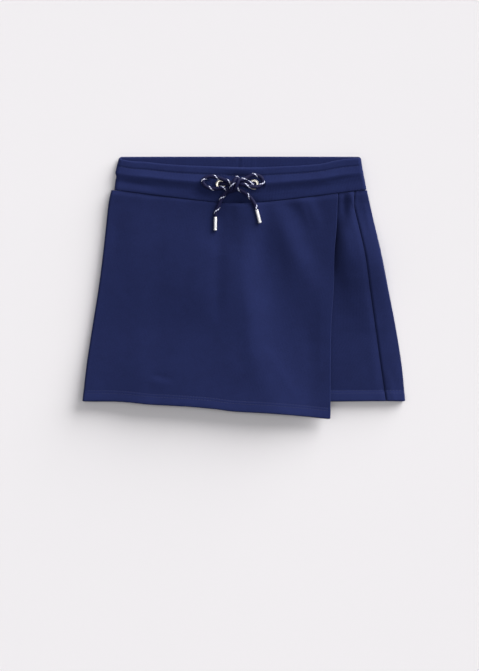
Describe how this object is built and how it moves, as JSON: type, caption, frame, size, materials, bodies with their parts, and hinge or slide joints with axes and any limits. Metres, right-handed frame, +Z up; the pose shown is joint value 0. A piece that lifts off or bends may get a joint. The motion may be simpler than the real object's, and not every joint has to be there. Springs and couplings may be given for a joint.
{
  "type": "wrap skort",
  "caption": "Child's wrap skort in sweatshirt knit, laid flat: shorts with a wrap flap over the front, elastic waistband and tied drawcord.",
  "frame": {"origin": "on the surface that the skort lies on, under the middle of its box", "axes": "+X to the right as the front is looked at, +Y towards the waist, +Z up off the surface"},
  "size_m": [0.3552, 0.287, 0.0184],
  "materials": {
    "sweat_knit": "navy cotton sweatshirt knit, matt, soft faint nap",
    "waistband_knit": "the same navy knit drawn over wide elastic",
    "drawcord_braid": "round polyester braid, near-black navy with white tracer yarns",
    "eyelet_metal": "pressed brass, pale plated, polished",
    "aglet_metal": "turned brass, nickel plated, polished"
  },
  "bodies": {
    "root": {"waistband": "waistband_knit", "wrap_flap": "sweat_knit", "front_leg_right": "sweat_knit", "front_leg_left": "sweat_knit", "back_leg_left": "sweat_knit", "back_leg_right": "sweat_knit", "eyelet_left": "eyelet_metal", "eyelet_right": "eyelet_metal", "drawcord_lead_left": "drawcord_braid", "drawcord_lead_right": "drawcord_braid", "drawcord_loop_left": "drawcord_braid", "drawcord_loop_right": "drawcord_braid", "drawcord_tail_left": "drawcord_braid", "drawcord_tail_right": "drawcord_braid", "drawcord_knot": "drawcord_braid", "aglet_left": "aglet_metal", "aglet_right": "aglet_metal"}
  },
  "joints": []
}
